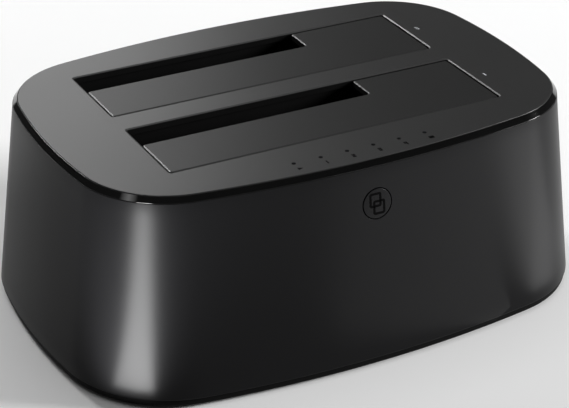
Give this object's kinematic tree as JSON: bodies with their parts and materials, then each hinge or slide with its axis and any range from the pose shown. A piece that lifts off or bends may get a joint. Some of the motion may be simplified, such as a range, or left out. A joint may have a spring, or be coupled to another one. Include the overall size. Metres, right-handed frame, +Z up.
{
  "type": "hard drive docking station",
  "caption": "Flared black desktop dock with twin top bays under sprung L-shaped flaps, where bare drives stand on end in sockets, a round clone button in front and ports behind.",
  "frame": {"origin": "on the table under the middle of the body", "axes": "+Z up, +X along the length to the right, -Y towards the front wall with the clone button"},
  "size_m": [0.1646, 0.1156, 0.0613],
  "materials": {
    "housing_plastic": "satin moulded",
    "plate_plastic": "fine matt moulded",
    "flap_plastic": "fine matt moulded",
    "base_plastic": "matt moulded",
    "inner_plastic": "matt moulded",
    "button_plastic": "satin moulded",
    "trim_gloss": "polished black",
    "socket_plastic": "glass filled moulded",
    "chip_epoxy": "moulded epoxy",
    "foot_rubber": "matt",
    "bright_steel": "drawn wire",
    "screw_steel": "zinc plated",
    "port_nickel": "nickel plated",
    "can_aluminium": "drawn can",
    "contact_gold": "gold plated",
    "circuit_board": "solder mask",
    "led_resin": "clear resin",
    "clear_acrylic": "polished",
    "cable_jacket": "flat cable"
  },
  "bodies": {
    "body": {"housing_shell": "housing_plastic", "bevel_trim": "trim_gloss", "top_plate": "plate_plastic", "base_plate": "base_plastic", "rubber_feet": "foot_rubber", "front_bay_well": "inner_plastic", "rear_bay_well": "inner_plastic", "front_flap_pin": "bright_steel", "rear_flap_pin": "bright_steel", "front_flap_spring": "bright_steel", "rear_flap_spring": "bright_steel", "main_board": "circuit_board", "front_drive_socket": "socket_plastic", "rear_drive_socket": "socket_plastic", "front_socket_contacts": "contact_gold", "rear_socket_contacts": "contact_gold", "bridge_chip": "chip_epoxy", "memory_chip": "chip_epoxy", "crystal": "bright_steel", "inductors": "chip_epoxy", "capacitors": "can_aluminium", "usb_port": "port_nickel", "usb_port_tongue": "socket_plastic", "power_jack": "socket_plastic", "power_jack_pin": "port_nickel", "power_switch": "socket_plastic", "tact_switch": "port_nickel", "button_board": "circuit_board", "led_board": "circuit_board", "indicator_leds": "led_resin", "light_guide": "clear_acrylic", "board_header": "contact_gold", "ribbon_cable": "cable_jacket", "ribbon_sockets": "socket_plastic", "base_screws": "screw_steel", "plate_screws": "screw_steel", "bay_screws": "screw_steel", "main_board_screws": "screw_steel", "button_board_screws": "screw_steel", "led_board_screws": "screw_steel"},
    "front_flap": {"front_flap": "flap_plastic"},
    "rear_flap": {"rear_flap": "flap_plastic"},
    "clone_button": {"clone_button": "button_plastic", "tact_plunger": "inner_plastic"},
    "power_button": {"power_button": "button_plastic", "power_plunger": "inner_plastic"}
  },
  "joints": [
    {"name": "front_flap_hinge", "type": "hinge", "parent": "body", "child": "front_flap", "pos_m": [0, -0.036, 0.056], "axis": [-1, 0, 0], "range_deg": [0, 90], "stiffness_Nm_per_rad": 0.008, "springref_deg": -57.3, "deforming": ["front_flap_spring"]},
    {"name": "rear_flap_hinge", "type": "hinge", "parent": "body", "child": "rear_flap", "pos_m": [0, 0.002, 0.056], "axis": [-1, 0, 0], "range_deg": [0, 90], "stiffness_Nm_per_rad": 0.008, "springref_deg": -57.3, "deforming": ["rear_flap_spring"]},
    {"name": "clone_button_press", "type": "slide", "parent": "body", "child": "clone_button", "axis": [0, 0.993, -0.1184], "range_m": [0, 0.0005], "stiffness_N_per_m": 900, "springref_m": -0.0008},
    {"name": "power_button_press", "type": "slide", "parent": "body", "child": "power_button", "axis": [0, -1, 0], "range_m": [0, 0.002], "stiffness_N_per_m": 500, "springref_m": -0.0015}
  ]
}
